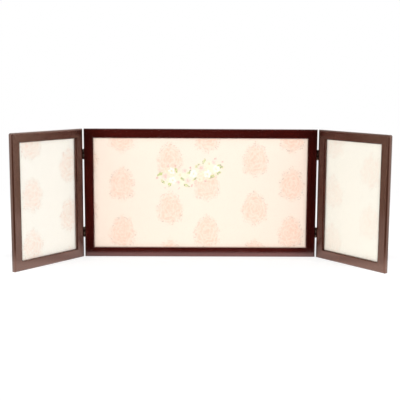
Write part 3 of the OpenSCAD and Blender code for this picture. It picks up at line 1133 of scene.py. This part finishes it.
def glow_in_gloss(x, y):
    """How bright a mirror-like surface sees the floor. It glows round the object and at its
    sides, but not in a wedge in front, where the photographer stands in the dark: there y
    plus a share of |x| is below the lower limit. The narrow strip at the foot of the centre
    panel dims towards the wings, which shade it. Before the strip, the bay between the
    wings is in their shade, the floor beside them is bright, and further out it dims."""
    aside = abs(x)
    glow = smooth(y + aside * GLOW_SPREAD, GLOW_FROM, GLOW_TO)
    glow = glow * smooth(x, SIDE_FROM, SIDE_TO, *SIDE_GLOW)
    strip = smooth(aside, *STRIP_DIMS, 1.0, SHADED_GLOW)
    bay = smooth(aside, *BAY_ENDS, SHADED_GLOW, BESIDE_GLOW)
    bay = bay * smooth(aside, *OUTER_DIMS, 1.0, OUTER_GLOW)
    return glow * between(smooth(y, *STRIP_FRONT), strip, bay) * GLOW


def floor_finish():
    """Matt white near the object and see-through further out. Its own share of white grows
    with the distance from the feet: |y| plus what |x| is past their ends."""
    made, tree = new_material("floor_white")
    x, y, _ = split(row_place(tree))
    path = put(tree, "LightPath")
    paint = mix(path["Is Camera Ray"], FLOOR_BOUNCE, FLOOR_WHITE)
    matt = put(tree, "BsdfDiffuse", {"Color": paint})[0]
    white = put(tree, "Emission", {"Color": (1, 1, 1), "Strength": WHITE_GLOW})[0]
    from_feet = abs(y) + larger(abs(x) - FEET_HALF, 0.0)
    own = smooth(from_feet, WHITE_FROM, WHITE_TO, OWN_WHITE, 1.0)
    straight = shader_mix(path["Is Camera Ray"] * own, matt, white)
    seen = put(tree, "Emission", {"Color": (1, 1, 1), "Strength": glow_in_gloss(x, y)})[0]
    surface = shader_mix(path["Is Glossy Ray"], straight, seen)
    gone = smooth(root(x * x + y * y), FADE_FROM, FADE_TO)
    clear = put(tree, "BsdfTransparent")[0]
    put(tree, "OutputMaterial", {0: shader_mix(gone, surface, clear)})
    return made


floor.data.materials.append(floor_finish())
print("floor fades out from", FADE_FROM, "to", FADE_TO, "m")

# %% [markdown]
# ## A black card in front of the centre panel
# Product photographers hold a black card before a glossy thing to keep its colour deep.
# This one stands on the floor 42 mm in front of the middle of the centre panel, upright, and
# only mirror-like surfaces that look at its face see it. The strip of bright floor between
# the card and the panel is what lights the lower half of the bottom rail.

# %% Black card
CARD_Y, CARD_HALF, CARD_TOP = -0.042, 0.255, 0.75
CARD_FOOT = 0.0005
CARD_LINES = 5
VELVET = (0.002, 0.002, 0.002)


def make_black_card():
    """An upright grid plane that faces the centre panel, seen by mirrors only."""
    across = np.linspace(CARD_HALF, -CARD_HALF, CARD_LINES)
    gx, gz = np.meshgrid(across, np.linspace(CARD_FOOT, CARD_TOP, CARD_LINES))
    co = np.stack([gx.ravel(), np.full(gx.size, CARD_Y), gz.ravel()], 1)
    made = new_piece("black_card", co, grid_faces(CARD_LINES, CARD_LINES)[1])
    made.visible_camera = made.visible_diffuse = made.visible_shadow = False
    made.visible_transmission = made.visible_volume_scatter = False
    return made


def black_card_finish():
    """Black on the side that faces the panel and nothing at all from behind."""
    made, tree = new_material("black_velvet")
    black = put(tree, "BsdfDiffuse", {"Color": VELVET})[0]
    clear = put(tree, "BsdfTransparent")[0]
    behind = put(tree, "NewGeometry")["Backfacing"]
    put(tree, "OutputMaterial", {0: shader_mix(behind, black, clear)})
    return made


black_card = make_black_card()
black_card.data.materials.append(black_card_finish())
print("black card at y", CARD_Y, "faces", tuple(black_card.data.polygons[0].normal))

# %% [markdown]
# ## The room
# The world stands for the walls and ceiling. It can show different things to different
# rays: the camera sees plain white behind the object, the gloss sees a bright room with a
# dark end behind the camera, and matt surfaces only get an even fill, low enough that the
# lamps still shape the moulding.

# %% World
FILL = 0.34
# Where the room turns from dark to bright: -1 is straight behind the camera, 1 ahead of it
DARK_UP_TO, BRIGHT_FROM = -0.55, -0.20
ROOM_GLOW = 1.2


def make_world():
    """Mirrored strength runs from 0 at the dark end to the room's glow, times the same
    difference between left and right as on the floor."""
    world = bpy.data.worlds.new("studio")
    world.use_nodes = True
    tree = world.node_tree
    tree.nodes.clear()
    x, y, _ = split(put(tree, "TexCoord")["Generated"])
    mirrored = smooth(y, DARK_UP_TO, BRIGHT_FROM, 0.0, ROOM_GLOW)
    mirrored = mirrored * smooth(x, SIDE_FROM, SIDE_TO, *SIDE_GLOW)
    path = put(tree, "LightPath")
    strength = between(path["Is Glossy Ray"], FILL, mirrored)
    straight = larger(path["Is Camera Ray"], path["Is Transmission Ray"])
    sockets = {"Color": (1, 1, 1), "Strength": between(straight, strength, 1.0)}
    put(tree, "OutputWorld", {0: put(tree, "Background", sockets)[0]})
    return world


scene.world = make_world()
print("world fill", FILL)

# %% [markdown]
# ## Lamps
# The front lamp stands just above the camera, so the deep lip of the moulding throws no
# shadow that the camera sees. Such a lamp would grey every glossy surface. A photographer
# puts one polarising sheet on the lamp and a crossed one on the lens, which takes out its
# glare and nothing else; here the lamp is hidden from mirror-like surfaces. The two side
# lamps light the wings and keep their glare, which shows on the metal.

# %% Lamps
AIM = Vector((0.0, -0.05, 0.12))
# Place, size in metres, watts, and whether it keeps its glare
LAMPS = {
    "lamp_front": ((0.0, -2.5, 0.50), (0.9, 0.5), 36.5, False),
    "lamp_left": ((-1.40, -1.00, 0.50), (0.7, 0.7), 8.6, True),
    "lamp_right": ((1.40, -1.00, 0.50), (0.7, 0.7), 8.0, True),
}
for name, (place, size, watts, glare) in LAMPS.items():
    data = bpy.data.lights.new(name, "AREA")
    data.shape = "RECTANGLE"
    data.size, data.size_y = size
    data.energy = watts
    lamp = bpy.data.objects.new(name, data)
    lamp.location = place
    lamp.rotation_euler = (AIM - Vector(place)).to_track_quat("-Z", "Y").to_euler()
    lamp.visible_glossy = glare
    scene.collection.objects.link(lamp)
    print(name, "at", place, "with", watts, "W")
